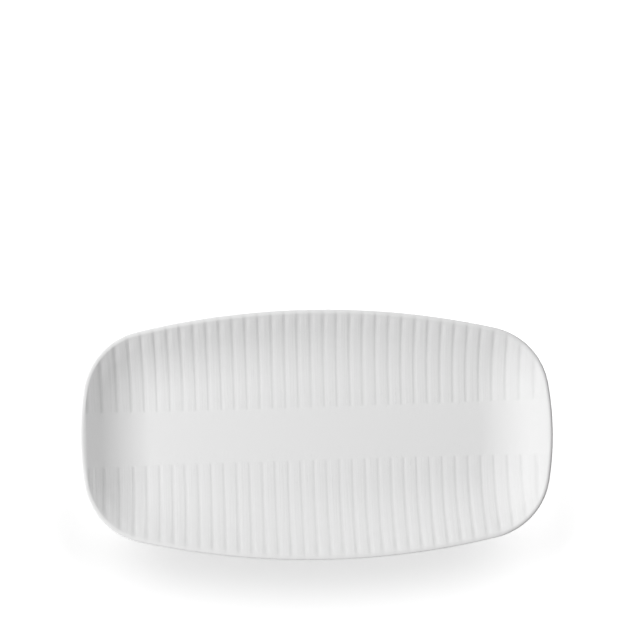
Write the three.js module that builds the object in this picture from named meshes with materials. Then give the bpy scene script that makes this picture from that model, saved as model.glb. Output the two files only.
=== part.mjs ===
// Oblong coupe serving plate: a reeded ceramic body, its glaze coat and the glaze inside its foot ring.
// Millimetres. X runs along the plate, Y across it and Z up.
// The origin is the middle of the plate on the surface that it stands on.

import * as THREE from "three";

// Rim in plan: bowed sides and ends, joined by round corners
const LENGTH = 355;
const WIDTH = 188;
const SIDE_RADIUS = 600;
const END_RADIUS = 224;
const CORNER_RADIUS = 52;

// Wall in section: a round lip, a straight flare and a curve down to the flat floor
const WALL_THICKNESS = 4.5;
const WALL_SLOPE_DEGREES = 25;
const FLARE_REACH = 15; // plan distance from the rim's edge to the foot of the straight flare
const WALL_REACH = 51; // plan distance from the rim's edge to the flat floor

// Foot ring
const FOOT_HEIGHT = 2.2;
const FOOT_INSET = 46; // plan distance from the rim's edge to the ring
const FOOT_WIDTH = 5;
const FOOT_CORNER_RADIUS = 24;
const FOOT_DRAFT_DEGREES = 20;
const FOOT_EDGE = 0.6; // eased edges of the standing face

// Glaze
const GLAZE = 0.3;
const GLAZE_POOL = 0.1; // extra thickness where the glaze gathers in the grooves
const BARE_HEIGHT = 0.4; // wiped clay between the eased edge and the start of the glaze

// Reeding: grooves across the plate, on both sides of a plain band along the middle
const GROOVE_PITCH = 9.8;
const GROOVE_WIDTH = 5.4;
const GROOVE_DEPTH_AT_RIM = 0.3;
const GROOVE_DEPTH_AT_FLOOR = 0.2;
const GROOVE_RUN_OUT = 3; // length of the slope that ends a groove at the band
const BAND_WIDTH = 38.2;
const BAND_SPREAD = 0.8; // how far each edge of the band moves out towards the plate's ends
const BAND_SHIFT = 0.8; // how far the band lies to +Y of the middle
const REEDING_TURN_DEGREES = 1.1; // how far the reeding sits askew on the plate
const REEDING_SHIFT = -1.8; // where its middle groove lies along the plate

// Facets
const ROW_SHARES = [0, 0.17, 0.33, 0.5, 0.68, 1]; // rows of the face between the rim and the run-outs
const RUN_OUT_SHARE = 0.3; // most of a short groove that its run-out may take
const END_STEPS = 2; // facets in half an end
const CORNER_STEPS = 7;
const SIDE_STEPS = 4; // facets in half a side
const BACK_STEPS = 5; // rings of facets between the lip and the foot
const HALVINGS = 40; // steps of the search for the rim along a groove

const CLAY = { color: 0xe8e4dc, roughness: 0.85, metalness: 0 };
const WHITE_GLAZE = { color: 0xf2f2f0, roughness: 0.3, metalness: 0 };

// Derived section
const SLOPE = THREE.MathUtils.degToRad(WALL_SLOPE_DEGREES);
const LIP_RADIUS = WALL_THICKNESS / 2;
const FLOOR_Z = FOOT_HEIGHT + WALL_THICKNESS;
const CURVE_RADIUS = (WALL_REACH - FLARE_REACH) / Math.sin(SLOPE);
const CURVE_CENTRE_Z = FLOOR_Z + CURVE_RADIUS;
const FLARE_FOOT_Z = CURVE_CENTRE_Z - CURVE_RADIUS * Math.cos(SLOPE);
const FLARE_RISE = (FLARE_REACH - LIP_RADIUS) * Math.tan(SLOPE);
const LIP_Z = FLARE_FOOT_Z + FLARE_RISE - LIP_RADIUS / Math.cos(SLOPE);
const FOOT_DRAFT = THREE.MathUtils.degToRad(FOOT_DRAFT_DEGREES);
const GLAZE_STOP_Z = FOOT_EDGE + BARE_HEIGHT;
const REEDING_TURN = THREE.MathUtils.degToRad(REEDING_TURN_DEGREES);

// An oblong plan outline, with three tangent arcs to a quarter, and its parallel insets.
class OblongOutline {
  constructor(length, width, sideRadius, endRadius, cornerRadius) {
    this.side = { x: 0, y: width / 2 - sideRadius, radius: sideRadius };
    this.end = { x: length / 2 - endRadius, y: 0, radius: endRadius };
    this.corner = tangentArc(this.side, this.end, cornerRadius);
    this.sideAngle = Math.atan2(this.corner.y - this.side.y, this.corner.x);
    this.endAngle = Math.atan2(this.corner.y, this.corner.x - this.end.x);
  }

  // The arc that a point lies nearest to, for a point in the first quarter.
  nearestArc(x, y) {
    const besideSide = Math.atan2(y - this.side.y, x) >= this.sideAngle;
    const besideEnd = Math.atan2(y, x - this.end.x) <= this.endAngle;
    if (besideSide && besideEnd) {
      return insetFrom(this.side, x, y) < insetFrom(this.end, x, y) ? this.side : this.end;
    }
    if (besideSide) return this.side;
    return besideEnd ? this.end : this.corner;
  }

  // How far inside the outline a point lies.
  inset(x, y) {
    const across = Math.abs(x);
    const up = Math.abs(y);
    return insetFrom(this.nearestArc(across, up), across, up);
  }

  // The same point, moved straight out from the outline by a distance.
  movedOut(x, y, distance) {
    const arc = this.nearestArc(Math.abs(x), Math.abs(y));
    const outward = new THREE.Vector2(Math.abs(x) - arc.x, Math.abs(y) - arc.y).setLength(distance);
    return { x: x + Math.sign(x) * outward.x, y: y + Math.sign(y) * outward.y };
  }

  // Half of the inset outline's width at a place along X.
  halfWidthAt(x, inset) {
    const sideReach = (this.side.radius - inset) * Math.cos(this.sideAngle);
    const cornerReach = this.corner.x + (this.corner.radius - inset) * Math.cos(this.endAngle);
    const across = Math.abs(x);
    const arc = across <= sideReach ? this.side : across <= cornerReach ? this.corner : this.end;
    return arc.y + Math.sqrt((arc.radius - inset) ** 2 - (across - arc.x) ** 2);
  }

  // Half of the inset outline's length at a place along Y.
  halfLengthAt(y, inset) {
    const endReach = (this.end.radius - inset) * Math.sin(this.endAngle);
    const cornerReach = this.corner.y + (this.corner.radius - inset) * Math.sin(this.sideAngle);
    const up = Math.abs(y);
    const arc = up <= endReach ? this.end : up <= cornerReach ? this.corner : this.side;
    return arc.x + Math.sqrt((arc.radius - inset) ** 2 - (up - arc.y) ** 2);
  }

  // The inset outline as a loop of points, anticlockwise from the +X end.
  loop(inset) {
    const quarter = [
      ...arcPoints(this.end, inset, 0, this.endAngle, END_STEPS),
      ...arcPoints(this.corner, inset, this.endAngle, this.sideAngle, CORNER_STEPS),
      ...arcPoints(this.side, inset, this.sideAngle, Math.PI / 2, SIDE_STEPS),
    ];
    const back = [{ x: 0, y: this.halfWidthAt(0, inset) }, ...quarter.slice(1).reverse()];
    return [
      ...quarter,
      ...back.map(({ x, y }) => ({ x: -x, y })),
      ...quarter.map(({ x, y }) => ({ x: -x, y: -y })),
      ...back.map(({ x, y }) => ({ x, y: -y })),
    ];
  }
}

// The arc of a given radius that touches a side arc and an end arc from inside.
function tangentArc(side, end, radius) {
  const fromSide = side.radius - radius;
  const fromEnd = end.radius - radius;
  const between = new THREE.Vector2(side.x - end.x, side.y - end.y);
  const gap = between.length();
  const along = (gap ** 2 + fromEnd ** 2 - fromSide ** 2) / (2 * gap);
  const across = Math.sqrt(fromEnd ** 2 - along ** 2);
  between.normalize();
  return {
    x: end.x + between.x * along - between.y * across,
    y: end.y + between.y * along + between.x * across,
    radius,
  };
}

function insetFrom(arc, x, y) {
  return arc.radius - Math.hypot(x - arc.x, y - arc.y);
}

// Points along an arc, without the last one.
function arcPoints(arc, inset, from, to, steps) {
  return Array.from({ length: steps }, (_, step) => {
    const angle = THREE.MathUtils.lerp(from, to, step / steps);
    return {
      x: arc.x + (arc.radius - inset) * Math.cos(angle),
      y: arc.y + (arc.radius - inset) * Math.sin(angle),
    };
  });
}

// A triangle mesh that grows loop by loop. Loops run anticlockwise seen from above, and each next loop
// follows the section from the face over the lip to the underside, so that all triangles face out.
class Skin {
  constructor() {
    this.points = [];
    this.triangles = [];
  }

  point(x, y, z) {
    return this.points.push(new THREE.Vector3(x, y, z)) - 1;
  }

  // A loop of points at one height, or at the height that a function gives for each.
  loop(outline, height) {
    return outline.map(({ x, y }) => this.point(x, y, height instanceof Function ? height(x, y) : height));
  }

  quad(a, b, c, d) {
    this.triangles.push([a, b, c], [a, c, d]);
  }

  // A band of facets between two loops with as many points.
  bridge(from, to) {
    from.forEach((start, i) => {
      const next = (i + 1) % from.length;
      this.quad(start, to[i], to[next], from[next]);
    });
  }

  // A band of facets between two loops with unlike numbers of points, matched by their bearing.
  zip(from, to) {
    const bearing = (index) => {
      const angle = Math.atan2(this.points[index].y, this.points[index].x);
      return angle < 0 ? angle + 2 * Math.PI : angle;
    };
    const sorted = (loop) => [...loop].sort((a, b) => bearing(a) - bearing(b));
    const inner = sorted(from);
    const outer = sorted(to);
    const inTurn = (loop, step) => loop[step % loop.length];
    const reached = (loop, step) => bearing(inTurn(loop, step)) + (step >= loop.length ? 2 * Math.PI : 0);
    let i = 0;
    let j = 0;
    while (i < inner.length || j < outer.length) {
      const outerFirst = reached(outer, j + 1) < reached(inner, i + 1);
      if (j < outer.length && (outerFirst || i >= inner.length)) {
        this.triangles.push([inTurn(inner, i), inTurn(outer, j), inTurn(outer, j + 1)]);
        j += 1;
      } else {
        this.triangles.push([inTurn(inner, i), inTurn(outer, j), inTurn(inner, i + 1)]);
        i += 1;
      }
    }
  }

  // A flat cap over the last loop.
  cap(loop, height) {
    const middle = this.point(0, 0, height);
    loop.forEach((start, i) => this.triangles.push([start, middle, loop[(i + 1) % loop.length]]));
  }

  // Takes in another skin turned inside out, and returns where its points start.
  addReversed(other) {
    const offset = this.points.length;
    this.points.push(...other.points);
    other.triangles.forEach(([a, b, c]) => this.triangles.push([a + offset, c + offset, b + offset]));
    return offset;
  }

  geometry() {
    const geometry = new THREE.BufferGeometry().setFromPoints(this.points);
    geometry.setIndex(this.triangles.flat());
    geometry.computeVertexNormals();
    return geometry;
  }
}

const rim = new OblongOutline(LENGTH, WIDTH, SIDE_RADIUS, END_RADIUS, CORNER_RADIUS);
const foot = new OblongOutline(
  LENGTH - 2 * FOOT_INSET,
  WIDTH - 2 * FOOT_INSET,
  SIDE_RADIUS - FOOT_INSET,
  END_RADIUS - FOOT_INSET,
  FOOT_CORNER_RADIUS,
);

// Height of the surface that lies a thickness below the glazed face: straight flare, curve and floor.
function sectionHeight(inset, below) {
  const radius = CURVE_RADIUS + below;
  const curveRun = radius * Math.sin(SLOPE);
  const run = Math.max(WALL_REACH - inset, 0);
  if (run <= curveRun) return CURVE_CENTRE_Z - Math.sqrt(radius ** 2 - run ** 2);
  return CURVE_CENTRE_Z - radius * Math.cos(SLOPE) + (run - curveRun) * Math.tan(SLOPE);
}

// Inset and height of the lip's round edge at an angle up from level, a depth below the glaze.
function lipAt(angle, depth) {
  const radius = LIP_RADIUS - depth;
  return { inset: LIP_RADIUS - radius * Math.cos(angle), z: LIP_Z + radius * Math.sin(angle) };
}

function faceEdgeInset(depth) {
  return lipAt(Math.PI / 2 + SLOPE, depth).inset;
}

// How far the plain band reaches to one side at a place along the reeding.
function bandReach(along, side) {
  return BAND_WIDTH / 2 + BAND_SPREAD * (2 * along / LENGTH) ** 2 + side * BAND_SHIFT;
}

// The plan point at a place along and across the reeding.
function reedingPoint(along, across) {
  return new THREE.Vector2(along, across).rotateAround(new THREE.Vector2(), REEDING_TURN);
}

// How far a line across the reeding runs to one side before it meets the edge of the face.
function reachAcross(along, side, depth) {
  const edge = faceEdgeInset(depth);
  let inside = 0;
  let outside = WIDTH;
  for (let step = 0; step < HALVINGS; step += 1) {
    const middle = (inside + outside) / 2;
    const { x, y } = reedingPoint(along, side * middle);
    if (rim.inset(x, y) > edge) inside = middle;
    else outside = middle;
  }
  return inside;
}

function grooveDepth(inset, depth) {
  const share = Math.min(inset / WALL_REACH, 1);
  const glazed = THREE.MathUtils.lerp(GROOVE_DEPTH_AT_RIM, GROOVE_DEPTH_AT_FLOOR, share);
  return glazed + GLAZE_POOL * depth / GLAZE;
}

// Centres of the grooves along the reeding: as many as the face has room for.
function grooveCentres() {
  const hasRoom = (along) => [-1, 1].every(
    (side) => reachAcross(along, side, 0) > bandReach(along, side) + GROOVE_RUN_OUT,
  );
  const most = Math.floor(LENGTH / 2 / GROOVE_PITCH);
  const centres = [];
  for (let i = -most; i <= most; i += 1) {
    const along = REEDING_SHIFT + i * GROOVE_PITCH;
    if (hasRoom(along - GROOVE_WIDTH / 2) && hasRoom(along + GROOVE_WIDTH / 2)) centres.push(along);
  }
  return centres;
}

// Rows across the face at a place along the reeding, from the rim at -Y to the rim at +Y.
function faceRows(along, depth) {
  const half = (side) => {
    const band = bandReach(along, side);
    const edge = reachAcross(along, side, depth);
    const runOut = Math.min(GROOVE_RUN_OUT, RUN_OUT_SHARE * (edge - band));
    const rows = ROW_SHARES.map((share) => THREE.MathUtils.lerp(edge, band + runOut, share));
    return [...rows, band].map((across) => side * across);
  };
  return [...half(-1), ...half(1).reverse()];
}

// Facets of the reeded face. Returns the loop of points along its edge.
function addFace(skin, depth) {
  const stations = grooveCentres().flatMap((along) => [
    { along: along - GROOVE_WIDTH / 2, inGroove: false },
    { along, inGroove: true },
    { along: along + GROOVE_WIDTH / 2, inGroove: false },
  ]);
  const bandRow = ROW_SHARES.length;
  const columns = stations.map(({ along, inGroove }) => faceRows(along, depth).map((across, row, rows) => {
    const { x, y } = reedingPoint(along, across);
    const inset = rim.inset(x, y);
    const cut = inGroove && row !== bandRow && row !== rows.length - 1 - bandRow;
    return skin.point(x, y, sectionHeight(inset, depth) - (cut ? grooveDepth(inset, depth) : 0));
  }));
  columns.slice(1).forEach((right, i) => {
    for (let row = 1; row < right.length; row += 1) {
      skin.quad(columns[i][row - 1], right[row - 1], right[row], columns[i][row]);
    }
  });
  const rightEnd = addFaceEnd(skin, columns.at(-1), 1, depth);
  const leftEnd = addFaceEnd(skin, columns[0], -1, depth);
  return [
    ...columns.map((column) => column[0]),
    ...rightEnd,
    ...columns.map((column) => column.at(-1)).reverse(),
    ...leftEnd.reverse(),
  ];
}

// Facets between the last station and the bowed end of the face. Returns the new points, upwards in Y.
function addFaceEnd(skin, column, side, depth) {
  const inset = faceEdgeInset(depth);
  const bow = column.slice(1, -1).map((index) => {
    const { y } = skin.points[index];
    return skin.point(side * rim.halfLengthAt(y, inset), y, sectionHeight(inset, depth));
  });
  const strip = side > 0 ? (a, b, c, d) => skin.quad(a, b, c, d) : (a, b, c, d) => skin.quad(b, a, d, c);
  const tip = (a, b, c) => skin.triangles.push(side > 0 ? [a, b, c] : [b, a, c]);
  tip(column[0], bow[0], column[1]);
  for (let row = 1; row < bow.length; row += 1) strip(column[row], bow[row - 1], bow[row], column[row + 1]);
  tip(column.at(-2), bow.at(-1), column.at(-1));
  return bow;
}

// The face, the lip and the back, a depth below the glaze. Returns the loop where the glaze stops.
function addOutside(skin, depth) {
  const faceEdge = addFace(skin, depth);
  const crest = lipAt(Math.PI / 2, depth);
  const toCrest = faceEdgeInset(depth) - crest.inset;
  const crestLoop = skin.loop(
    faceEdge.map((index) => rim.movedOut(skin.points[index].x, skin.points[index].y, toCrest)),
    crest.z,
  );
  skin.bridge(faceEdge, crestLoop);
  const lipLoops = [Math.PI / 4, 0, SLOPE - Math.PI / 2].map((angle) => {
    const { inset, z } = lipAt(angle, depth);
    return skin.loop(rim.loop(inset), z);
  });
  skin.zip(crestLoop, lipLoops[0]);
  skin.bridge(lipLoops[0], lipLoops[1]);
  skin.bridge(lipLoops[1], lipLoops[2]);
  return addBack(skin, lipLoops[2], depth);
}

// Plan offset of the foot's drafted side at a height, for the clay or for the glaze over it.
function footSide(z, depth) {
  return z * Math.tan(FOOT_DRAFT) + (GLAZE - depth) / Math.cos(FOOT_DRAFT);
}

// The back of the wall, from the lip to the foot ring and down its side to the glaze's edge.
function addBack(skin, lipLoop, depth) {
  const underHeight = (x, y) => sectionHeight(rim.inset(x, y), WALL_THICKNESS - depth);
  const lipPlan = lipLoop.map((index) => skin.points[index]);
  const footPlan = foot.loop(-footSide(FOOT_HEIGHT, depth));
  let last = lipLoop;
  for (let step = 1; step <= BACK_STEPS; step += 1) {
    const share = step / BACK_STEPS;
    const plan = footPlan.map(({ x, y }, i) => ({
      x: THREE.MathUtils.lerp(lipPlan[i].x, x, share),
      y: THREE.MathUtils.lerp(lipPlan[i].y, y, share),
    }));
    const ring = skin.loop(plan, underHeight);
    skin.bridge(last, ring);
    last = ring;
  }
  const glazeStop = skin.loop(foot.loop(-footSide(GLAZE_STOP_Z, depth)), GLAZE_STOP_Z);
  skin.bridge(last, glazeStop);
  return glazeStop;
}

// The bare standing ring, from the outer edge of the glaze to the inner one.
function addStandingRing(skin, glazeStop) {
  const ring = (offset, z) => skin.loop(foot.loop(offset), z);
  const loops = [
    glazeStop,
    ring(-footSide(FOOT_EDGE, GLAZE), FOOT_EDGE),
    ring(FOOT_EDGE, 0),
    ring(FOOT_WIDTH - FOOT_EDGE, 0),
    ring(FOOT_WIDTH + footSide(FOOT_EDGE, GLAZE), FOOT_EDGE),
    ring(FOOT_WIDTH + footSide(GLAZE_STOP_Z, GLAZE), GLAZE_STOP_Z),
  ];
  loops.slice(1).forEach((next, i) => skin.bridge(loops[i], next));
  return loops.at(-1);
}

// The recess inside the foot ring, from the glaze's edge to the middle of the plate's underside.
function addRecess(skin, glazeStop, depth) {
  const ceiling = FOOT_HEIGHT + depth;
  const corner = skin.loop(foot.loop(FOOT_WIDTH + footSide(FOOT_HEIGHT, depth)), ceiling);
  skin.bridge(glazeStop, corner);
  skin.cap(corner, ceiling);
}

function recessEdge(skin, depth) {
  return skin.loop(foot.loop(FOOT_WIDTH + footSide(GLAZE_STOP_Z, depth)), GLAZE_STOP_Z);
}

function clayBody() {
  const skin = new Skin();
  const outerStop = addOutside(skin, GLAZE);
  const innerStop = addStandingRing(skin, outerStop);
  addRecess(skin, innerStop, GLAZE);
  return skin.geometry();
}

function glazeCoat() {
  const skin = new Skin();
  const outside = addOutside(skin, 0);
  const clay = new Skin();
  const clayStop = addOutside(clay, GLAZE);
  const offset = skin.addReversed(clay);
  skin.bridge(outside, clayStop.map((index) => index + offset));
  return skin.geometry();
}

function baseGlaze() {
  const skin = new Skin();
  const glazeStop = recessEdge(skin, 0);
  addRecess(skin, glazeStop, 0);
  const clay = new Skin();
  const clayStop = recessEdge(clay, GLAZE);
  addRecess(clay, clayStop, GLAZE);
  const offset = skin.addReversed(clay);
  skin.bridge(clayStop.map((index) => index + offset), glazeStop);
  return skin.geometry();
}

function namedMesh(name, geometry, finish) {
  const mesh = new THREE.Mesh(geometry, new THREE.MeshStandardMaterial(finish));
  mesh.name = name;
  return mesh;
}

const plate = new THREE.Group();
plate.add(
  namedMesh("clay_body", clayBody(), CLAY),
  namedMesh("glaze_coat", glazeCoat(), WHITE_GLAZE),
  namedMesh("base_glaze", baseGlaze(), WHITE_GLAZE),
);

export default plate;
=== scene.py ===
# %% [markdown]
# A reeded oblong plate.
# This lesson dresses a long white serving plate. The solid model gives its true size and place, and
# Blender gives the fine surface: the soft reeds across the face, the round lip and the satin glaze.
# The solid model is loaded first. It is the fixed frame that everything else is fitted to.

# %% Load the frame
import collections
import math

import bpy
import numpy as np
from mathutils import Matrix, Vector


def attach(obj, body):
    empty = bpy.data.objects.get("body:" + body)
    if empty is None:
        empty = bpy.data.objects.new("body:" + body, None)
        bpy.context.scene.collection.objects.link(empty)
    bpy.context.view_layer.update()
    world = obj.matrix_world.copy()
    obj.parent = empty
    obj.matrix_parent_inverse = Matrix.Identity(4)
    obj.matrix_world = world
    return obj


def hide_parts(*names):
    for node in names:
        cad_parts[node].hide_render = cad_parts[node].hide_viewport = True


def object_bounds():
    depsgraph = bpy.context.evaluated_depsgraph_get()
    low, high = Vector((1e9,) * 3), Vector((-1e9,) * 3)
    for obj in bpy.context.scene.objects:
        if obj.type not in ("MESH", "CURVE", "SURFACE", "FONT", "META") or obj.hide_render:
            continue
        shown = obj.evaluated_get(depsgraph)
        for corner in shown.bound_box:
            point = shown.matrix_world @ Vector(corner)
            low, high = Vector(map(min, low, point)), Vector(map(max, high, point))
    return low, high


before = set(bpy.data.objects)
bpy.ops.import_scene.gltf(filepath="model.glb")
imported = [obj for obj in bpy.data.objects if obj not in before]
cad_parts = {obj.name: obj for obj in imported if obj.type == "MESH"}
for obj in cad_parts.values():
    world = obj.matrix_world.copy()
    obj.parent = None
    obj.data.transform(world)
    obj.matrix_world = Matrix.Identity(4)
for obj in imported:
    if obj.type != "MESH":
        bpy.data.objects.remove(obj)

solid_low, solid_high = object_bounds()
LENGTH, WIDTH, HEIGHT = solid_high - solid_low
print("solid model:", sorted(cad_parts), "size", [round(s, 4) for s in (LENGTH, WIDTH, HEIGHT)])

# %% [markdown]
# The plan of the rim.
# A potter would draw this outline with a compass: a long shallow arc for each side, a tighter one for
# each end, and a small one for each corner, each running smoothly into the next. Three arcs describe a
# quarter, and the other quarters mirror it. A subdivided box would come close, but arcs give the true
# curve, and moving in from the rim is then only a matter of taking a little off each radius.

# %% Arcs of an oblong outline
MM = 0.001
SIDE_RADIUS = 600 * MM
END_RADIUS = 224 * MM
CORNER_RADIUS = 52 * MM

Arc = collections.namedtuple("Arc", "centre radius start stop")


def oblong(length, width, side_radius, end_radius, corner_radius):
    """The end, corner and side arcs of the first quarter, each touching the next."""
    end = np.array([length / 2 - end_radius, 0.0])
    side = np.array([0.0, width / 2 - side_radius])
    between = side - end
    gap = np.linalg.norm(between)
    to_corner = end_radius - corner_radius
    along_gap = (gap**2 + to_corner**2 - (side_radius - corner_radius) ** 2) / (2 * gap)
    across_gap = math.sqrt(to_corner**2 - along_gap**2)
    unit = between / gap
    corner = end + unit * along_gap + np.array([-unit[1], unit[0]]) * across_gap
    end_stop = math.atan2(corner[1] - end[1], corner[0] - end[0])
    side_start = math.atan2(corner[1] - side[1], corner[0] - side[0])
    return (
        Arc(end, end_radius, 0.0, end_stop),
        Arc(corner, corner_radius, end_stop, side_start),
        Arc(side, side_radius, side_start, math.pi / 2),
    )


rim = oblong(LENGTH, WIDTH, SIDE_RADIUS, END_RADIUS, CORNER_RADIUS)
for name, arc in zip(("end", "corner", "side"), rim):
    print(f"{name} arc: radius {arc.radius / MM:.0f} mm, {math.degrees(arc.stop - arc.start):.1f} degrees")

# %% Places beside the outline
Place = collections.namedtuple("Place", "arc share inset x_sign y_sign")


def locate(outline, x, y):
    """Which arc each plan point lies beside, how far along it, and how far inside the outline."""
    across, up = np.abs(x), np.abs(y)
    angles = [np.arctan2(up - arc.centre[1], across - arc.centre[0]) for arc in outline]
    insets = [arc.radius - np.hypot(across - arc.centre[0], up - arc.centre[1]) for arc in outline]
    by_end = angles[0] <= outline[0].stop
    by_side = angles[2] >= outline[2].start
    nearer_end = by_end & (~by_side | (insets[0] < insets[2]))
    which = np.where(nearer_end, 0, np.where(by_side, 2, 1))
    start = np.choose(which, [arc.start for arc in outline])
    stop = np.choose(which, [arc.stop for arc in outline])
    share = (np.choose(which, angles) - start) / (stop - start)
    return Place(which, share, np.choose(which, insets), np.sign(x), np.sign(y))


def along(outline, place, inset):
    """Plan points at the same arcs and shares of an outline, at another inset."""
    start = np.choose(place.arc, [arc.start for arc in outline])
    stop = np.choose(place.arc, [arc.stop for arc in outline])
    angle = start + (stop - start) * place.share
    radius = np.choose(place.arc, [arc.radius for arc in outline]) - inset
    x = np.choose(place.arc, [arc.centre[0] for arc in outline]) + radius * np.cos(angle)
    y = np.choose(place.arc, [arc.centre[1] for arc in outline]) + radius * np.sin(angle)
    return x * place.x_sign, y * place.y_sign


halfway = locate(rim, np.array([0.0]), np.array([WIDTH / 4]))
print("inset of a point halfway to the rim, in mm:", round(float(halfway.inset[0]) / MM, 2))

# %% [markdown]
# The section of the wall.
# Cut across, the plate is a thin, even shell. A round lip leads to a short straight flare, and a curve
# carries that down to the flat floor. One formula for the height of the face also gives the back of the
# wall and the clay under the glaze, because each lies a set thickness below the glazed face.

# %% Section of the wall
WALL_THICKNESS = 4.5 * MM
WALL_SLOPE = math.radians(25)
FLARE_REACH = 15 * MM
WALL_REACH = 51 * MM
FOOT_HEIGHT = 2.2 * MM

LIP_RADIUS = WALL_THICKNESS / 2
FLOOR_HEIGHT = FOOT_HEIGHT + WALL_THICKNESS
CURVE_RADIUS = (WALL_REACH - FLARE_REACH) / math.sin(WALL_SLOPE)
CURVE_TOP = FLOOR_HEIGHT + CURVE_RADIUS
LIP_HEIGHT = HEIGHT - LIP_RADIUS
FACE_ANGLE = math.pi / 2 + WALL_SLOPE
BACK_ANGLE = WALL_SLOPE - math.pi / 2


def section_height(inset, below):
    """Height of the surface that lies a thickness below the glazed face."""
    radius = CURVE_RADIUS + below
    run = np.maximum(WALL_REACH - inset, 0)
    curve_run = radius * math.sin(WALL_SLOPE)
    curve = CURVE_TOP - np.sqrt(radius**2 - np.minimum(run, curve_run) ** 2)
    return curve + np.maximum(run - curve_run, 0) * math.tan(WALL_SLOPE)


def face_edge(depth):
    """Inset at which the face meets the lip, a depth below the glaze."""
    return LIP_RADIUS - (LIP_RADIUS - depth) * math.cos(FACE_ANGLE)


print(f"well {(HEIGHT - FLOOR_HEIGHT) / MM:.1f} mm deep, wall curve of radius {CURVE_RADIUS / MM:.0f} mm")

# %% [markdown]
# Reeding.
# The reeds are pressed into the clay with the plate. They are nearly flat on top, and soft grooves part
# them. A groove falls quickly from the reed on its left and rises more slowly to the one on its right. It
# stops in a round end where the plain band along the middle begins, and it gets wider as it climbs to the
# rim. The press went deepest into the back wall. It also went deeper on the way to both ends, and a little
# deeper on the right than on the left. Just inside the lip each groove swells, deeper and wider, and on
# the lip itself it fades.
# The pattern sits a degree askew on the plate, and its middle groove lies a little left of the middle. The
# last grooves at the left end lie further out than an even spacing puts them. The relief is a height added
# to the section, so that it catches light as real geometry and not as a painted stripe.

# %% Pattern on the plan
PATTERN_TURN = math.radians(1.1)
HALVINGS = 40


def turned(u, v, angle=PATTERN_TURN):
    """Plan points from places along and across the pattern."""
    return u * math.cos(angle) - v * math.sin(angle), u * math.sin(angle) + v * math.cos(angle)


def reach_across(u, side, inset):
    """How far across the pattern a column runs before it meets the rim at an inset, found by halving."""
    near, far = np.zeros_like(u), np.full_like(u, WIDTH)
    for _ in range(HALVINGS):
        middle = (near + far) / 2
        inside = locate(rim, *turned(u, side * middle)).inset > inset
        near, far = np.where(inside, middle, near), np.where(inside, far, middle)
    return near


reaches = [float(reach_across(np.array([0.0]), side, 0.0)[0]) / MM for side in (-1, 1)]
print("middle column runs, in mm:", [round(reach, 2) for reach in reaches])

# %% Spacing of the grooves
PITCH = 9.83 * MM
LEFT_SPREAD = 2.1 * MM
SPREAD_FROM = -141 * MM
SPREAD_REACH = 29 * MM


def wave(distance, half):
    """A soft bump: 1 in the middle and 0 at half its width."""
    return 0.5 + 0.5 * np.cos(np.pi * np.clip(distance / half, 0, 1))


def in_pattern(u):
    """Where a place along the plate lies in an even pattern. The grooves spread at the left end."""
    return u + LEFT_SPREAD * (1 - wave(SPREAD_FROM - u, SPREAD_REACH))


pitches = (in_pattern(LENGTH / 2) - in_pattern(-LENGTH / 2)) / PITCH
print(f"{pitches:.1f} pitches of {PITCH / MM:.2f} mm along the plate")

# %% Plain band along the middle
BAND_HALF = 19.1 * MM
BAND_SPREAD = 0.8 * MM
BAND_SHIFT = 0.8 * MM


def band_reach(u, side):
    """How far the plain band reaches to one side. It lies a little to the back and spreads to the ends."""
    return BAND_HALF + BAND_SPREAD * (2 * u / LENGTH) ** 2 + side * BAND_SHIFT


bands = [float(band_reach(0, side)) / MM for side in (-1, 1)]
print(f"plain band: {bands[0]:.1f} mm to the front and {bands[1]:.1f} mm to the back")

# %% Depth of the grooves
GROOVE_DEPTH_AT_BACK = 0.3 * MM
GROOVE_DEPTH_AT_FLOOR = 0.145 * MM
GROOVE_DEPTH_AT_FRONT = 0.17 * MM
END_GAIN = 1.1
RIGHT_GAIN = 0.25
DEPTH_ON_LIP = 0.45
LIP_FADE_REACH = 8 * MM
SWELL_AT_BACK = 0.6
SWELL_AT_FRONT = 1.2
SWELL_INSET = 7.5 * MM
SWELL_REACH = 5 * MM


def swelling(inset):
    """How far the grooves swell just inside the lip, from 0 to 1."""
    return wave(np.abs(inset - SWELL_INSET), SWELL_REACH)


def groove_depth(u, inset, to_back, to_front):
    """How deep a groove is at its lowest line."""
    depth = GROOVE_DEPTH_AT_FLOOR + (GROOVE_DEPTH_AT_BACK - GROOVE_DEPTH_AT_FLOOR) * to_back
    depth = depth + (GROOVE_DEPTH_AT_FRONT - GROOVE_DEPTH_AT_FLOOR) * to_front
    end = 2 * u / LENGTH
    depth = depth * (1 + END_GAIN * end ** 2 * (1 - end ** 2) + RIGHT_GAIN * end * (1 - to_back))
    depth = depth * (1 - (1 - DEPTH_ON_LIP) * wave(inset, LIP_FADE_REACH))
    return depth * (1 + (SWELL_AT_BACK * to_back + SWELL_AT_FRONT * to_front) * swelling(inset))


swollen = [float(groove_depth(0, SWELL_INSET, to_back, 1 - to_back)) / MM for to_back in (0, 1)]
print(f"grooves where they swell: {swollen[0]:.2f} mm at the front and {swollen[1]:.2f} mm at the back")

# %% Relief of the reeds
PATTERN_SHIFT = -3.0 * MM
FALL_AT_RIM = 2.9 * MM
FALL_AT_FLOOR = 1.9 * MM
RISE = 3.2 * MM
SWELL_WIDENS = 0.2
RUN_OUT = 2.2 * MM
SAMPLES = 5


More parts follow.
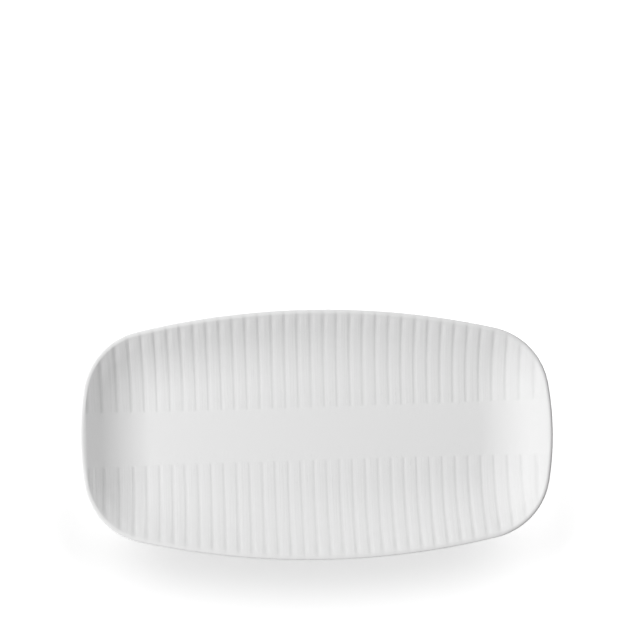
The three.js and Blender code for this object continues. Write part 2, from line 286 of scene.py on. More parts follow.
def reeding(x, y, inset):
    """Height of the relief, how far each point lies in a groove, and how far in the reeded part."""
    u, v = turned(x, y, -PATTERN_TURN)
    reeded = 1 - wave(np.abs(v) - band_reach(u, np.sign(v)), RUN_OUT)
    climb = np.clip(1 - inset / WALL_REACH, 0, 1)
    to_back, to_front = climb * np.clip(2 * v / WIDTH, 0, 1), climb * np.clip(-2 * v / WIDTH, 0, 1)
    fall = FALL_AT_FLOOR + (FALL_AT_RIM - FALL_AT_FLOOR) * (to_back + to_front)
    fall = fall * (1 + SWELL_WIDENS * swelling(inset))
    past_groove = (in_pattern(u) - PATTERN_SHIFT + fall / 2) % PITCH - fall
    in_groove = np.where(past_groove < 0, wave(-past_groove, fall), wave(past_groove, RISE))
    depth = groove_depth(u, inset, to_back, to_front)
    return -depth * reeded * in_groove, reeded * in_groove, reeded


across = np.linspace(0, PITCH, SAMPLES)
sample = reeding(*turned(across, np.full(SAMPLES, WIDTH / 3)), np.full(SAMPLES, WALL_REACH / 2))[0]
print("relief over one pitch, in mm:", [round(float(h) / MM, 2) for h in sample])

# %% [markdown]
# From a flat grid to the face.
# The face starts as a flat grid. Its columns run the way the grooves do, so every groove has whole edges
# along its length, and the columns crowd together at the grooves, where the surface turns fastest. Each
# point of the grid then moves to its place in the plan and up to its height in the section, as clay is
# pressed into a mould. Cutting grooves with booleans would leave a ragged mesh that shades badly.

# %% Grid for a face
END_MARGIN = 1.0 * MM
COLUMN_REACH = LENGTH / 2 - face_edge(0.0) - END_MARGIN
COLUMNS_IN_PITCH = 12
BAND_ROWS = 2
RUN_OUT_ROWS = 5
WALL_ROWS = 16
HALF_ROWS = BAND_ROWS + RUN_OUT_ROWS + WALL_ROWS


def add_grid(name, columns_in_pitch):
    """A flat grid with so many columns in every pitch of the reeding."""
    columns = round(2 * COLUMN_REACH / PITCH * columns_in_pitch)
    bpy.ops.object.select_all(action="DESELECT")
    bpy.ops.mesh.primitive_grid_add(x_subdivisions=columns, y_subdivisions=2 * HALF_ROWS, size=2)
    piece = bpy.context.object
    piece.name = piece.data.name = name
    print(name, "starts as a grid of", len(piece.data.polygons), "quads")
    return piece


glaze_coat = add_grid("white_glaze_coat", COLUMNS_IN_PITCH)

# %% Columns along the plate
COLUMN_CROWDING = 0.6
SEARCH_STEPS = 6


def on_plate(pattern):
    """The place along the plate that lies at a place in the even pattern, found in a few steps."""
    u = pattern
    for _ in range(SEARCH_STEPS):
        u = u + pattern - in_pattern(u)
    return u


def face_columns(flat):
    """How far along the plate each column of the flat grid lies. The columns crowd at the grooves."""
    first, last = in_pattern(np.array([-COLUMN_REACH, COLUMN_REACH]))
    even = first + (last - first) * (flat + 1) / 2
    phase = 2 * np.pi * (even - PATTERN_SHIFT) / PITCH
    return on_plate(even - COLUMN_CROWDING * PITCH / (2 * np.pi) * np.sin(phase))


print("end columns, in mm:", (face_columns(np.array([-1.0, 1.0])) / MM).round(1))

# %% Rows across the plate
ROW_CROWDING = 1.5
SHORTEST_WALL_SHARE = 0.3


def face_rows(u, side, row, depth):
    """How far across each row of the grid lies: on the plain band, the groove ends, then the wall."""
    edge = reach_across(u, side, face_edge(depth))
    band = np.minimum(band_reach(u, side), (1 - SHORTEST_WALL_SHARE) * edge)
    run_out = np.minimum(RUN_OUT, SHORTEST_WALL_SHARE * (edge - band))
    on_band = np.clip(row / BAND_ROWS, 0, 1) * band
    on_run_out = np.clip((row - BAND_ROWS) / RUN_OUT_ROWS, 0, 1) * run_out
    to_rim = np.clip((row - BAND_ROWS - RUN_OUT_ROWS) / WALL_ROWS, 0, 1)
    on_wall = (1 - (1 - to_rim) ** ROW_CROWDING) * (edge - band - run_out)
    return on_band + on_run_out + on_wall


last_row = face_rows(np.array([0.0]), 1, HALF_ROWS, 0.0)
print("last row of the middle column, in mm:", (last_row / MM).round(1))

# %% Press the grid onto the face
def points_of(piece):
    """All the points of a piece's mesh, as rows of x, y and z."""
    flat = np.empty(len(piece.data.vertices) * 3)
    piece.data.vertices.foreach_get("co", flat)
    return flat.reshape(-1, 3)


def move_points(piece, points):
    """Puts every point of a piece's mesh in its new place."""
    piece.data.vertices.foreach_set("co", points.ravel())
    piece.data.update()


def press_face(piece, depth):
    """Moves a flat grid onto the reeded face, a depth below the glaze."""
    flat = points_of(piece)
    u = face_columns(flat[:, 0])
    side = np.sign(flat[:, 1])
    x, y = turned(u, side * face_rows(u, side, np.abs(flat[:, 1]) * HALF_ROWS, depth))
    inset = locate(rim, x, y).inset
    height = section_height(inset, depth) + reeding(x, y, inset)[0]
    move_points(piece, np.column_stack([x, y, height]))
    print(f"{piece.name} pressed, {height.min() / MM:.2f} to {height.max() / MM:.2f} mm high")


press_face(glaze_coat, 0.0)

# %% [markdown]
# Rolling the rim over.
# The edge of the face now rolls over the lip, runs down the back of the wall and turns into the foot the
# plate stands on. Each step extrudes the open border once and puts the new ring in its place. A ring
# keeps the arc and the share of that arc that its points had on the rim, so the rings never twist, even
# though the foot has tighter corners than the rim. The outer edge of the lip is a little square, and
# rounder at the right end, as if a wet sponge had passed there once more.

# %% Foot outline
FOOT_INSET = 46 * MM
FOOT_CORNER_RADIUS = 24 * MM
FOOT_DRAFT = math.radians(20)
GLAZE = 0.3 * MM

foot_length = LENGTH - 2 * FOOT_INSET
foot_width = WIDTH - 2 * FOOT_INSET
foot = oblong(
    foot_length, foot_width, SIDE_RADIUS - FOOT_INSET, END_RADIUS - FOOT_INSET, FOOT_CORNER_RADIUS
)


def foot_side(height, depth):
    """How far the drafted side of the foot stands out from its outline at a height."""
    return height * math.tan(FOOT_DRAFT) + (GLAZE - depth) / math.cos(FOOT_DRAFT)


print("foot outline, in mm:", round(foot_length / MM), "by", round(foot_width / MM))

# %% Rings of the lip
LIP_STEPS = 12
GROOVE_END_ANGLE = math.radians(40)
LIP_SQUARENESS = 5.5
RIGHT_LIP_SQUARENESS = 2.35
RIGHT_LIP_FROM = 0.1
RIGHT_LIP_OVER = 0.35


def ring(outline, place, inset, height):
    """One ring of points round an outline."""
    x, y = along(outline, place, inset)
    return np.column_stack([x, y, np.broadcast_to(height, x.shape)])


def lip_squareness(place):
    """How square the outer edge of the lip is at each place. It is rounder where the rim faces right."""
    facing_right = along(rim, place, -1.0)[0] - along(rim, place, 0.0)[0]
    at_right = 1 - wave(facing_right - RIGHT_LIP_FROM, RIGHT_LIP_OVER)
    return LIP_SQUARENESS + (RIGHT_LIP_SQUARENESS - LIP_SQUARENESS) * at_right


def lip_rings(place, relief, depth):
    """Rings round the lip, from the face to the back. The grooves fade out as they cross it."""
    squareness = lip_squareness(place)
    rings = []
    for angle in np.linspace(FACE_ANGLE, BACK_ANGLE, LIP_STEPS + 1)[1:]:
        fade = np.clip((angle - GROOVE_END_ANGLE) / (FACE_ANGLE - GROOVE_END_ANGLE), 0, 1)
        radius = LIP_RADIUS - depth + relief * fade
        out, up = math.cos(angle), math.sin(angle)
        if 0 < angle < math.pi / 2:
            out, up = out ** (2 / squareness), up ** (2 / squareness)
        rings.append(ring(rim, place, LIP_RADIUS - radius * out, LIP_HEIGHT + radius * up))
    return rings


both_ends = locate(rim, np.array([-LENGTH / 2, LENGTH / 2]), np.zeros(2))
print("squareness of the lip at the left and the right end:", lip_squareness(both_ends).round(2))

# %% Rings of the back and the foot
BACK_STEPS = 8
ROOT_FILLET = 0.8 * MM
FILLET_TURNS = np.radians((0, 30, 60, 90))
GLAZE_STOP = 1.0 * MM


def back_rings(place, start, depth):
    """Rings down the back of the wall, round the small hollow at its root and to the glaze line."""
    goal = ring(foot, place, -foot_side(FOOT_HEIGHT, depth) - ROOT_FILLET, FOOT_HEIGHT)
    rings = []
    for share in np.linspace(0, 1, BACK_STEPS + 1)[1:]:
        step = start + (goal - start) * share
        step[:, 2] = section_height(locate(rim, step[:, 0], step[:, 1]).inset, WALL_THICKNESS - depth)
        rings.append(step)
    root = rings[-1][:, 2]
    for turn in FILLET_TURNS[1:]:
        height = root - ROOT_FILLET * (1 - math.cos(turn))
        inset = -foot_side(height, depth) - ROOT_FILLET * (1 - math.sin(turn))
        rings.append(ring(foot, place, inset, height))
    rings.append(ring(foot, place, -foot_side(GLAZE_STOP, depth), GLAZE_STOP))
    return rings


def wall_rings(border, place, depth):
    """All the rings from the border of a face, over the lip and down to the glaze line on the foot."""
    relief = reeding(border[:, 0], border[:, 1], place.inset)[0]
    rings = lip_rings(place, relief, depth)
    return rings + back_rings(place, rings[-1], depth)


print("rings:", LIP_STEPS, "round the lip and", BACK_STEPS + len(FILLET_TURNS), "down the back")

# %% Number the open border
ORDER = "border_order"


def chosen_points(piece):
    """Numbers of the points that are selected."""
    chosen = np.empty(len(piece.data.vertices), dtype=bool)
    piece.data.vertices.foreach_get("select", chosen)
    return np.flatnonzero(chosen)


def number_border(piece):
    """Selects a piece's open border and numbers its points. Returns their places."""
    bpy.ops.object.select_all(action="DESELECT")
    bpy.context.view_layer.objects.active = piece
    piece.select_set(True)
    bpy.ops.object.mode_set(mode="EDIT")
    bpy.ops.mesh.select_mode(type="EDGE")
    bpy.ops.mesh.select_all(action="SELECT")
    bpy.ops.mesh.region_to_loop()
    bpy.ops.object.mode_set(mode="OBJECT")
    border = chosen_points(piece)
    order = np.zeros(len(piece.data.vertices), dtype=np.int32)
    order[border] = np.arange(len(border))
    piece.data.attributes.new(ORDER, "INT", "POINT").data.foreach_set("value", order)
    return points_of(piece)[border]


border = number_border(glaze_coat)
print(glaze_coat.name, "has an open border of", len(border), "points")

# %% Extrude the border ring by ring
def extrude_rings(piece, rings):
    """Extrudes the selected border once for every ring and puts each new point in its place."""
    for goal in rings:
        bpy.ops.object.mode_set(mode="EDIT")
        bpy.ops.mesh.extrude_edges_indiv()
        bpy.ops.object.mode_set(mode="OBJECT")
        new = chosen_points(piece)
        order = np.empty(len(piece.data.vertices), dtype=np.int32)
        piece.data.attributes[ORDER].data.foreach_get("value", order)
        points = points_of(piece)
        points[new] = goal[order[new]]
        move_points(piece, points)
    print(piece.name, "extruded by", len(rings), "rings of", len(goal), "points")


place = locate(rim, border[:, 0], border[:, 1])
extrude_rings(glaze_coat, wall_rings(border, place, 0.0))

# %% [markdown]
# A coat with a thickness.
# A glaze is a thin glass that melts over the clay, about as thick as a fingernail. The surface made so far
# is its outside. Solidify gives it its thickness on the clay side, so the outside keeps its true place.
# Before that, each point notes how much darker the glaze is painted there, which is most in the grooves,
# and whether it lies on the reeds. In the grooves the darkening is partly glaze that pools there and
# partly painted shade, the shade that falls in them. The material uses both notes later.

# %% Mark the pools and painted shade in the grooves, and the reeds
POOL_AND_SHADE = "glaze_pool_and_painted_shade"
REEDED = "reeded"
POOL_ON_REEDS = 0.25
POOL_AND_SHADE_AT_FLOOR = 0.1
POOL_AND_SHADE_AT_FRONT = 0.4
POOL_AND_SHADE_AT_BACK = 0.6
POOL_AND_SHADE_STARTS = 1.2 * MM
POOL_AND_SHADE_IS_FULL = 3.6 * MM


def mark_pools_and_painted_shade(piece):
    """Notes how much darker each point is painted: pooled glaze and painted shade in the grooves. Also
    where the reeds are.
    """
    points = points_of(piece)
    inset = locate(rim, points[:, 0], points[:, 1]).inset
    upper = points[:, 2] > section_height(inset, WALL_THICKNESS / 2)
    on_face = upper * np.clip((inset - POOL_AND_SHADE_STARTS) / (POOL_AND_SHADE_IS_FULL - POOL_AND_SHADE_STARTS), 0, 1)
    climb = np.clip(1 - inset / WALL_REACH, 0, 1)
    _, in_groove, reeded = reeding(points[:, 0], points[:, 1], inset)
    to_back = np.clip(0.5 + points[:, 1] / WIDTH, 0, 1)
    # Painted shade, partly pooled glaze: the grooves are painted darker up the walls, and more at the back
    # than at the front.
    at_rim = POOL_AND_SHADE_AT_FRONT + (POOL_AND_SHADE_AT_BACK - POOL_AND_SHADE_AT_FRONT) * to_back
    in_pool_and_shade = in_groove * (POOL_AND_SHADE_AT_FLOOR + (at_rim - POOL_AND_SHADE_AT_FLOOR) * climb)
    pool_and_shade = on_face * (POOL_ON_REEDS * reeded + in_pool_and_shade)
    for name, values in ((POOL_AND_SHADE, pool_and_shade), (REEDED, on_face * reeded)):
        note = piece.data.attributes.new(name, "FLOAT", "POINT")
        note.data.foreach_set("value", values.astype(np.float32))
        print(f"{name} noted on {len(values)} points, up to {values.max():.2f}")


mark_pools_and_painted_shade(glaze_coat)

# %% Solidify the coat
GLAZE_SHARP_FROM = 50


def solidify(piece, thickness):
    """Thickens a surface on its inner side and applies the modifier."""
    bpy.context.view_layer.objects.active = piece
    modifier = piece.modifiers.new("thickness", "SOLIDIFY")
    modifier.thickness = thickness
    modifier.offset = -1
    modifier.use_quality_normals = True
    bpy.ops.object.modifier_apply(modifier=modifier.name)


def smooth(piece, degrees):
    """Shades a piece smooth, but keeps edges that turn more sharply than the angle."""
    bpy.ops.object.select_all(action="DESELECT")
    bpy.context.view_layer.objects.active = piece
    piece.select_set(True)
    bpy.ops.object.shade_smooth_by_angle(angle=math.radians(degrees))


glaze_coat.data.attributes.remove(glaze_coat.data.attributes[ORDER])
solidify(glaze_coat, GLAZE)
smooth(glaze_coat, GLAZE_SHARP_FROM)
print(glaze_coat.name, len(glaze_coat.data.polygons), "faces")

# %% [markdown]
# The clay body.
# Under the glaze is the same shape in fired clay. Most of it is out of sight, so its grid is coarser, and
# a hair of room is left under the glaze so that the two skins never share a place. The clay shows at the
# foot, where the glaze was wiped off so that the plate would not stick to the kiln shelf. The skin
# therefore goes on past the glaze line: round the eased edges of the foot, over the standing face, and up
# into the recess inside it, which one flat face closes.

# %% Press the clay body
CLAY_GAP = 0.05 * MM
CLAY_DEPTH = GLAZE + CLAY_GAP

clay_body = add_grid("fired_clay_body", COLUMNS_IN_PITCH // 2)
press_face(clay_body, CLAY_DEPTH)

# %% Extrude it down to the recess
FOOT_WIDTH = 5 * MM
FOOT_EDGE = 0.6 * MM
EASE = 1 - math.sqrt(0.5)


def standing_rings(place):
    """Rings of bare clay: round the outer edge of the foot, over its standing face and up inside."""
    outer = [
        (-foot_side(FOOT_EDGE, GLAZE), FOOT_EDGE),
        (EASE * FOOT_EDGE, EASE * FOOT_EDGE),
        (FOOT_EDGE, 0.0),
    ]
    inner = [(FOOT_WIDTH - inset, height) for inset, height in reversed(outer)]
    recess_heights = (GLAZE_STOP, FOOT_HEIGHT + CLAY_DEPTH)
    recess = [(FOOT_WIDTH + foot_side(height, CLAY_DEPTH), height) for height in recess_heights]
    return [ring(foot, place, inset, height) for inset, height in outer + inner + recess]


border = number_border(clay_body)
place = locate(rim, border[:, 0], border[:, 1])
extrude_rings(clay_body, wall_rings(border, place, CLAY_DEPTH) + standing_rings(place))

# %% Close the recess
CLAY_SHARP_FROM = 40

bpy.ops.object.mode_set(mode="EDIT")
bpy.ops.mesh.edge_face_add()
bpy.ops.object.mode_set(mode="OBJECT")
clay_body.data.attributes.remove(clay_body.data.attributes[ORDER])
smooth(clay_body, CLAY_SHARP_FROM)
print(clay_body.name, len(clay_body.data.polygons), "faces")

# %% [markdown]
# The glazed recess underneath.
# Inside the foot ring the underside is glazed too. Its edge has one section all the way round, so that
# section is drawn once and spun about the centre of each arc of the foot in turn. After the last turn it
# meets itself, the double points are merged, and a flat face fills the middle.

# %% Section of the recess
RECESS_FILLET = 0.8 * MM
RECESS_MARGIN = 6 * MM

ceiling = FOOT_HEIGHT
side_top = ceiling - RECESS_FILLET
section = [(foot_side(GLAZE_STOP, 0.0), GLAZE_STOP)]
for turn in FILLET_TURNS:
    height = side_top + RECESS_FILLET * math.sin(turn)
    section.append((foot_side(height, 0.0) + RECESS_FILLET * (1 - math.cos(turn)), height))
section.append((section[-1][0] + RECESS_MARGIN, ceiling))
print("recess section of", len(section), "points, up to", round(ceiling / MM, 2), "mm high")

# %% Draw the section point by point
end_of_foot = LENGTH / 2 - FOOT_INSET - FOOT_WIDTH
bpy.ops.object.select_all(action="DESELECT")
bpy.ops.mesh.primitive_plane_add(size=MM, location=(0, 0, 0))
base_glaze = bpy.context.object
base_glaze.name = base_glaze.data.name = "recess_glaze"
bpy.ops.object.mode_set(mode="EDIT")
bpy.ops.mesh.select_mode(type="VERT")
bpy.ops.mesh.select_all(action="SELECT")
bpy.ops.mesh.merge(type="CENTER")
bpy.ops.transform.translate(value=(end_of_foot, 0, 0))
drawn = (0.0, 0.0)
for number, (inset, height) in enumerate(section):
    step = (drawn[0] - inset, 0, height - drawn[1])
    if number == 0:
        bpy.ops.transform.translate(value=step)
    else:
        bpy.ops.mesh.extrude_vertices_move(TRANSFORM_OT_translate={"value": step})
    drawn = (inset, height)
print("section drawn inwards from", round(end_of_foot / MM, 2), "mm")

# %% Spin it round the foot
SPIN_STEPS = {"end": 4, "corner": 14, "side": 10}
DOUBLE_DISTANCE = 0.001 * MM


def quarter_turns(outline):
    """Centres and angles of the turns that carry a section once round an outline."""
    end, corner, side = outline
    for arc, name, x_sign, y_sign, halves in (
        (end, "end", 1, 1, 1),
        (corner, "corner", 1, 1, 1),
        (side, "side", 1, 1, 2),
        (corner, "corner", -1, 1, 1),
        (end, "end", -1, 1, 2),
        (corner, "corner", -1, -1, 1),
        (side, "side", 1, -1, 2),
        (corner, "corner", 1, -1, 1),
        (end, "end", 1, 1, 1),
    ):
        centre = (arc.centre[0] * x_sign, arc.centre[1] * y_sign, 0)
        yield centre, (arc.stop - arc.start) * halves, SPIN_STEPS[name] * halves


bpy.ops.mesh.select_all(action="SELECT")
for centre, angle, steps in quarter_turns(foot):
    bpy.ops.mesh.spin(steps=steps, angle=angle, center=centre, axis=(0, 0, -1))
bpy.ops.mesh.select_all(action="SELECT")
bpy.ops.mesh.remove_doubles(threshold=DOUBLE_DISTANCE)
bpy.ops.object.mode_set(mode="OBJECT")
points = points_of(base_glaze)
left, right = points[:, 0].min() / MM, points[:, 0].max() / MM
print(f"recess spun: {len(points)} points, from {left:.2f} to {right:.2f} mm along the plate")

# %% Fill the middle and thicken it
CEILING_SLACK = 0.01 * MM
INSET_SLACK = 0.1 * MM

bpy.ops.object.mode_set(mode="EDIT")
bpy.ops.mesh.select_all(action="DESELECT")
bpy.ops.object.mode_set(mode="OBJECT")
at_ceiling = points[:, 2] > ceiling - CEILING_SLACK
inset = locate(foot, points[:, 0], points[:, 1]).inset
innermost = at_ceiling & (inset > FOOT_WIDTH + section[-1][0] - INSET_SLACK)
base_glaze.data.vertices.foreach_set("select", innermost)
bpy.ops.object.mode_set(mode="EDIT")
bpy.ops.mesh.edge_face_add()
bpy.ops.mesh.select_all(action="SELECT")
bpy.ops.mesh.normals_make_consistent(inside=False)
bpy.ops.object.mode_set(mode="OBJECT")
middle = max(base_glaze.data.polygons, key=lambda face: face.area)
faces_up = middle.normal.z > 0
if faces_up:
    base_glaze.data.flip_normals()
solidify(base_glaze, GLAZE)
smooth(base_glaze, GLAZE_SHARP_FROM)
print(base_glaze.name, len(base_glaze.data.polygons), "faces, had to be turned over:", faces_up)

# %% [markdown]
# Putting the pieces in the frame.
# Each modelled piece takes the place of the solid node it was made for, and carries that node's material
# name. The solid nodes stay in the file as the measure of the object, but the camera no longer sees them.

# %% Place the pieces
for piece, node, slot in (
    (glaze_coat, "glaze_coat", "white_glaze"),
    (clay_body, "clay_body", "bare_clay"),
    (base_glaze, "base_glaze", "white_glaze"),
):
    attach(piece, "root")
    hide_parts(node)
    print(piece.name, "stands for", node)

# %% [markdown]
# Cloud and grain.
# Fired surfaces are never quite even. Broad soft clouds come from the way the slip and the glaze flowed,
# and a fine grain comes from the particles in them. Both materials need the two patterns at scales of
# their own, so they live in one node group with two scales as inputs.

# %% Node group for uneven surfaces
Noise = collections.namedtuple("Noise", "name scale detail")
NOISES = (Noise("Cloud", 60.0, 2.0), Noise("Grain", 900.0, 3.0))


def cloud_and_grain():
    """A node group with a broad and a fine noise, each from 0 to 1."""
    group = bpy.data.node_groups.new("cloud_and_grain", "ShaderNodeTree")
    sockets = group.interface
    for kind in NOISES:
        scale = sockets.new_socket(kind.name + " Scale", in_out="INPUT", socket_type="NodeSocketFloat")
        scale.default_value = kind.scale
        sockets.new_socket(kind.name, in_out="OUTPUT", socket_type="NodeSocketFloat")
    nodes, links = group.nodes, group.links
    inside, outside = nodes.new("NodeGroupInput"), nodes.new("NodeGroupOutput")
    place_in_object = nodes.new("ShaderNodeTexCoord")
    for kind in NOISES:
        noise = nodes.new("ShaderNodeTexNoise")
        noise.inputs["Detail"].default_value = kind.detail
        links.new(place_in_object.outputs["Object"], noise.inputs["Vector"])
        links.new(inside.outputs[kind.name + " Scale"], noise.inputs["Scale"])
        links.new(noise.outputs["Fac"], outside.inputs[kind.name])
    return group


uneven = cloud_and_grain()
print("node group:", uneven.name, [item.name for item in uneven.interface.items_tree])

# %% [markdown]
# White satin glaze.
# The glaze is a white satin: it scatters nearly all light and keeps only a broad, weak sheen. Where it has
# run into the grooves it is thicker, and there it is painted slightly darker, partly for the thicker glaze
# and partly as painted shade, the shade that falls in the grooves; more so in some places than in others.
# The clouds shift the sheen a little and tilt the surface by a hair, which stops the long walls from
# looking like plastic. The reeds also keep faint streaks along their length from the press. These are a
# noise that is stretched along the pattern and counts only where the points were marked as reeded.

# %% Start the glaze
FILM_SCALE = 55.0
RUN_SCALE = 160.0
GLAZE_GRAIN_SCALE = 800.0


def start_material(name):
    """A new node material, with its tree and its main shader."""
    material = bpy.data.materials.new(name)
    material.use_nodes = True
    return material, material.node_tree, material.node_tree.nodes["Principled BSDF"]


def add_uneven(tree, cloud_scale, grain_scale):
    """The cloud and grain group as a node, at a material's own scales."""
    node = tree.nodes.new("ShaderNodeGroup")
    node.node_tree = uneven
    node.inputs["Cloud Scale"].default_value = cloud_scale
    node.inputs["Grain Scale"].default_value = grain_scale
    return node


glaze, tree, shader = start_material("white_glaze")
film = add_uneven(tree, FILM_SCALE, GLAZE_GRAIN_SCALE)
run = add_uneven(tree, RUN_SCALE, GLAZE_GRAIN_SCALE)
print(glaze.name, "starts with", [node.name for node in tree.nodes])

# %% Pools of the glaze and painted shade in the grooves
POOL_AND_SHADE_VARIES = (0.2, 1.8)


def add_range(tree, value, low, high, start=0.0, stop=1.0):
    """Spreads a value that runs from a start to a stop over a range from low to high."""
    node = tree.nodes.new("ShaderNodeMapRange")
    node.inputs["From Min"].default_value = start
    node.inputs["From Max"].default_value = stop
    node.inputs["To Min"].default_value = low
    node.inputs["To Max"].default_value = high
    tree.links.new(value, node.inputs["Value"])
    return node.outputs["Result"]


def add_mark(tree, name):
    """A value that was marked on the points of the mesh."""
    node = tree.nodes.new("ShaderNodeAttribute")
    node.attribute_name = name
    return node.outputs["Fac"]


def add_product(tree, first, second):
    """The product of two values."""
    node = tree.nodes.new("ShaderNodeMath")
    node.operation = "MULTIPLY"
    tree.links.new(first, node.inputs[0])
    tree.links.new(second, node.inputs[1])
    return node.outputs["Value"]


pool_and_shade = add_product(tree, add_mark(tree, POOL_AND_SHADE), add_range(tree, run.outputs["Cloud"], *POOL_AND_SHADE_VARIES))
print("pools vary from", POOL_AND_SHADE_VARIES[0], "to", POOL_AND_SHADE_VARIES[1], "times what was noted")

# %% Colour of the glaze, with painted shade in the grooves
GLAZE_COLOUR = (0.82, 0.82, 0.82)
POOL_AND_SHADE_COLOUR = (0.775, 0.775, 0.775)


def add_mix(tree, factor, first, second):
    """Mixes two colours by a factor."""
    node = tree.nodes.new("ShaderNodeMix")
    node.data_type = "RGBA"
    tree.links.new(factor, node.inputs["Factor"])
    node.inputs["A"].default_value = (*first, 1)
    node.inputs["B"].default_value = (*second, 1)
    return node.outputs["Result"]


# Painted shade, partly pooled glaze: the grooves are mixed towards the darker pool colour.
tree.links.new(add_mix(tree, pool_and_shade, GLAZE_COLOUR, POOL_AND_SHADE_COLOUR), shader.inputs["Base Color"])
print("glaze colour", GLAZE_COLOUR, "and in a full pool", POOL_AND_SHADE_COLOUR)

# %% Sheen of the glaze
GLAZE_ROUGHNESS = (0.5, 0.58)
GLAZE_SPECULAR = 0.3

tree.links.new(add_range(tree, film.outputs["Cloud"], *GLAZE_ROUGHNESS), shader.inputs["Roughness"])
shader.inputs["Specular IOR Level"].default_value = GLAZE_SPECULAR
print("glaze roughness", GLAZE_ROUGHNESS, "and specular level", GLAZE_SPECULAR)

# %% Waves, streaks and grain of the glaze
FILM_WAVE = 0.03 * MM
STREAK_SIZE = (1.3 * MM, 40 * MM, 40 * MM)
STREAK_HEIGHT = 0.09 * MM
GRAIN_HEIGHT = 0.002 * MM


def add_bump(tree, height, distance, under=None):
    """A bump of a height, over another bump if there is one."""
    node = tree.nodes.new("ShaderNodeBump")
    node.inputs["Strength"].default_value = 1.0
    node.inputs["Distance"].default_value = distance
    tree.links.new(height, node.inputs["Height"])
    if under is not None:
        tree.links.new(under, node.inputs["Normal"])
    return node.outputs["Normal"]


def add_streaks(tree, size):
    """A noise with cells of a size along, across and up, laid along the pattern of the reeds."""
    place_in_object = tree.nodes.new("ShaderNodeTexCoord")
    stretch = tree.nodes.new("ShaderNodeMapping")
    stretch.vector_type = "TEXTURE"
    stretch.inputs["Rotation"].default_value = (0, 0, PATTERN_TURN)
    stretch.inputs["Scale"].default_value = size
    noise = tree.nodes.new("ShaderNodeTexNoise")
    noise.inputs["Scale"].default_value = 1.0
    tree.links.new(place_in_object.outputs["Object"], stretch.inputs["Vector"])
    tree.links.new(stretch.outputs["Vector"], noise.inputs["Vector"])
    return noise.outputs["Fac"]


waves = add_bump(tree, film.outputs["Cloud"], FILM_WAVE)
streaks = add_product(tree, add_streaks(tree, STREAK_SIZE), add_mark(tree, REEDED))
waves = add_bump(tree, streaks, STREAK_HEIGHT, waves)
tree.links.new(add_bump(tree, film.outputs["Grain"], GRAIN_HEIGHT, waves), shader.inputs["Normal"])
print(glaze.name, "has", len(tree.nodes), "nodes and", len(tree.links), "links")

# %% Glaze on the pieces
def dress(piece, material):
    """Gives a piece one material all over."""
    piece.data.materials.clear()
    piece.data.materials.append(material)
    print(material.name, "on", piece.name)


dress(glaze_coat, glaze)
dress(base_glaze, glaze)

# %% [markdown]
# Bare fired clay.
# The ring the plate stands on is unglazed: dense, pale and dry to the touch, with a fine grit. It is rough
# all over, so there is no sheen to speak of, and the grain shows both as tone and as tiny bumps.

# %% Clay material
CLAY_PALE = (0.71, 0.69, 0.66)
CLAY_DARK = (0.6, 0.575, 0.54)
CLAY_CLOUD_SCALE = 120.0
GRIT_SCALE = 2200.0
CLAY_ROUGHNESS = (0.8, 0.95)
GRIT_HEIGHT = 0.02 * MM

clay, tree, shader = start_material("bare_clay")
grit = add_uneven(tree, CLAY_CLOUD_SCALE, GRIT_SCALE)
tree.links.new(add_mix(tree, grit.outputs["Grain"], CLAY_DARK, CLAY_PALE), shader.inputs["Base Color"])
tree.links.new(add_range(tree, grit.outputs["Cloud"], *CLAY_ROUGHNESS), shader.inputs["Roughness"])
tree.links.new(add_bump(tree, grit.outputs["Grain"], GRIT_HEIGHT), shader.inputs["Normal"])
dress(clay_body, clay)

# %% [markdown]
# Floor.
# The plate lies on a plain white sheet. The camera should see pure white wherever no shadow falls, and the
# sheet must not throw extra light on the plate. So the sheet is an ordinary pale surface, and rays from
# the camera get a little glow on top, enough to bring the lit part up to white. Reflections get it too, so
# that they show the same sheet, but the rays that carry light to the plate do not. Far from the plate,
# where the lamps fade, the glow grows until the sheet meets the white room without a line.

# %% White sheet
SHEET_SIZE = 8.0
SHEET_DROP = 0.01 * MM
SHEET_COLOUR = (0.8, 0.8, 0.8)

bpy.ops.object.select_all(action="DESELECT")
bpy.ops.mesh.primitive_plane_add(size=SHEET_SIZE, location=(0, 0, -SHEET_DROP))
sheet = bpy.context.object
sheet.name = "white_sheet"
paper, tree, shader = start_material("white_paper")
shader.inputs["Base Color"].default_value = (*SHEET_COLOUR, 1)
shader.inputs["Roughness"].default_value = 1.0
shader.inputs["Specular IOR Level"].default_value = 0.0
dress(sheet, paper)

# %% Glow of the sheet
SHEET_GLOW = 0.3
GLOW_GROWS = (0.45, 1.5)


def add_seen(tree):
    """1 for rays from the camera and for reflections, 0 for the rays that carry light to the plate."""
    rays = tree.nodes.new("ShaderNodeLightPath")
    seen = rays.outputs["Is Camera Ray"]
    for kind in ("Is Glossy Ray", "Is Transmission Ray"):
        either = tree.nodes.new("ShaderNodeMath")
        either.operation = "MAXIMUM"
        tree.links.new(seen, either.inputs[0])
        tree.links.new(rays.outputs[kind], either.inputs[1])
        seen = either.outputs["Value"]
    return seen


def add_distance(tree):
    """How far a point lies from the middle of its object."""
    place_in_object = tree.nodes.new("ShaderNodeTexCoord")
    length = tree.nodes.new("ShaderNodeVectorMath")
    length.operation = "LENGTH"
    tree.links.new(place_in_object.outputs["Object"], length.inputs[0])
    return length.outputs["Value"]


shader.inputs["Emission Color"].default_value = (1, 1, 1, 1)
glow = add_range(tree, add_distance(tree), SHEET_GLOW, 1.0, *GLOW_GROWS)
tree.links.new(add_product(tree, add_seen(tree), glow), shader.inputs["Emission Strength"])
print("glow of", SHEET_GLOW, "that grows to 1 between", GLOW_GROWS[0], "and", GLOW_GROWS[1], "m")

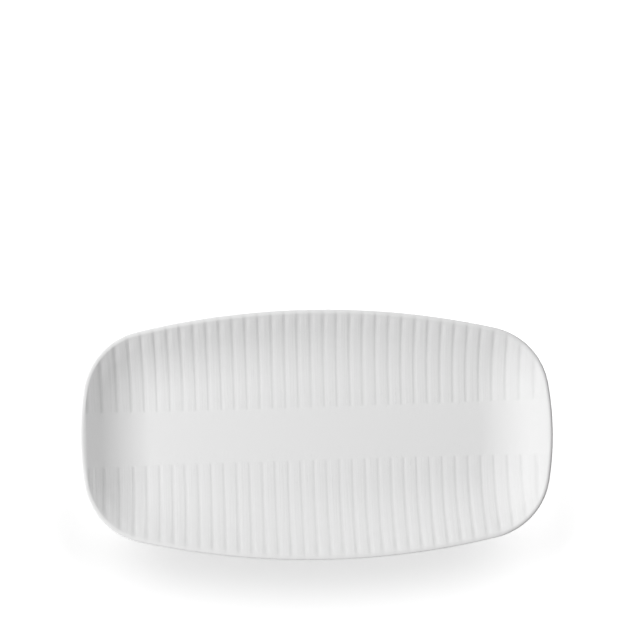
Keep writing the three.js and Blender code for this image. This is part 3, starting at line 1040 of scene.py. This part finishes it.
# %% [markdown]
# Light.
# A large soft lamp stands high on the left and a little behind, so the right wall glows and the left one
# falls into shade. It is kept out of reflections, because the satin glaze shows no highlight. A dim white
# room fills the shadows. The sheet has lamps of its own. Two low soft ones stand behind the plate, to the
# left and to the right. The sheet stays white wherever one of them reaches it, so a shadow shows only in
# front of the plate, where both are hidden. One lamp overhead keeps that shadow light, and the bright
# sheet lights the outside of the lip from below. Light linking gives each lamp its receivers, so that one
# can be set without upsetting the others.

# %% Room
ROOM_LIGHT = 0.035

world = bpy.data.worlds.new("white_room")
bpy.context.scene.world = world
world.use_nodes = True
tree = world.node_tree
background = tree.nodes["Background"]
background.inputs["Color"].default_value = (1, 1, 1, 1)
tree.links.new(add_range(tree, add_seen(tree), ROOM_LIGHT, 1.0), background.inputs["Strength"])
print(world.name, "lights the plate with", ROOM_LIGHT, "and is white to the camera and in reflections")

# %% Lamps
Lamp = collections.namedtuple("Lamp", "name direction distance size power in_reflections receivers")
PLATE = (glaze_coat, clay_body, base_glaze)
LAMPS = (
    Lamp("key_lamp", (-0.64, 0.175, 0.745), 3.4, (1.4, 1.4), 137.2, False, PLATE),
    Lamp("left_sheet_lamp", (-0.710, 0.596, 0.375), 2.2, (0.5, 4.0), 56.0, True, (sheet,)),
    Lamp("right_sheet_lamp", (0.710, 0.596, 0.375), 2.2, (0.5, 4.0), 56.0, True, (sheet,)),
    Lamp("overhead_lamp", (0.0, 0.0, 1.0), 3.0, (1.2, 1.2), 40.0, True, (sheet,)),
)


def add_lamp(plan):
    """A soft oval lamp, so high and so wide, that faces the plate and lights only its receivers."""
    bpy.ops.object.select_all(action="DESELECT")
    away = np.array(plan.direction) / np.linalg.norm(plan.direction)
    turn = (0, math.acos(away[2]), math.atan2(away[1], away[0]))
    bpy.ops.object.light_add(type="AREA", location=tuple(away * plan.distance), rotation=turn)
    lamp = bpy.context.object
    lamp.name = lamp.data.name = plan.name
    lamp.data.shape = "ELLIPSE"
    lamp.data.size, lamp.data.size_y = plan.size
    lamp.data.energy = plan.power
    lamp.visible_glossy = plan.in_reflections
    collection = bpy.data.collections.new(plan.name + "_receivers")
    for receiver in plan.receivers:
        collection.objects.link(receiver)
    lamp.light_linking.receiver_collection = collection
    print(plan.name, plan.power, "W on", [receiver.name for receiver in plan.receivers])


for plan in LAMPS:
    add_lamp(plan)

# %% [markdown]
# Camera.
# The picture is taken from straight above, with the plate low in the frame. Tilting the camera would make
# the long sides converge, so it looks straight down and the lens shift moves the plate in the frame, as a
# view camera does. A small roll matches how the plate lies.

# %% Camera
CAMERA_HEIGHT = 0.738
CAMERA_ROLL = math.radians(-0.74)
CAMERA_SIDE = -0.040
SENSOR_WIDTH = 36.0
FOCAL_LENGTH = 54.33
LENS_SHIFT = (0.0844, 0.1855)
NEAREST = 0.01

bpy.ops.object.select_all(action="DESELECT")
bpy.ops.object.camera_add(
    location=(CAMERA_SIDE * math.cos(CAMERA_ROLL), CAMERA_SIDE * math.sin(CAMERA_ROLL), CAMERA_HEIGHT),
    rotation=(0, 0, CAMERA_ROLL),
)
camera = bpy.context.object
camera.data.sensor_width = SENSOR_WIDTH
camera.data.lens = FOCAL_LENGTH
camera.data.shift_x, camera.data.shift_y = LENS_SHIFT
camera.data.clip_start = NEAREST
scene = bpy.context.scene
scene.camera = camera
scene.view_settings.view_transform = "Standard"
print("camera at", [round(v, 3) for v in camera.location])
